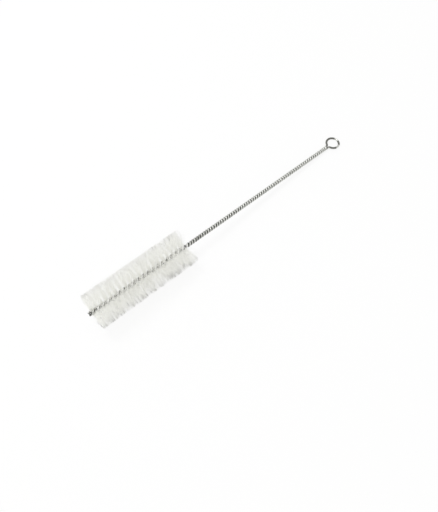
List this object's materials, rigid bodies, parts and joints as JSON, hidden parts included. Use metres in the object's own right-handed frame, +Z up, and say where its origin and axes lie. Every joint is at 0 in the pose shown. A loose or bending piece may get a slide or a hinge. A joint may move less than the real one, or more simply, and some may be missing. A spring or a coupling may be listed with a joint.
{
  "type": "bottle brush",
  "caption": "Twisted-wire bottle brush: a round head of white nylon filaments nipped in a folded steel wire, with a slim twisted handle and a hanging loop.",
  "frame": {"origin": "on the ground, below the middle of the lying brush", "axes": "+X along the brush, from the bristle head towards the hanging loop, and +Z up"},
  "size_m": [0.2294, 0.026, 0.0319],
  "materials": {
    "steel_wire": "bright drawn wire",
    "nylon_filament": "satin, slightly translucent"
  },
  "bodies": {
    "root": {"stem_wire": "steel_wire", "bristles": "nylon_filament"}
  },
  "joints": []
}
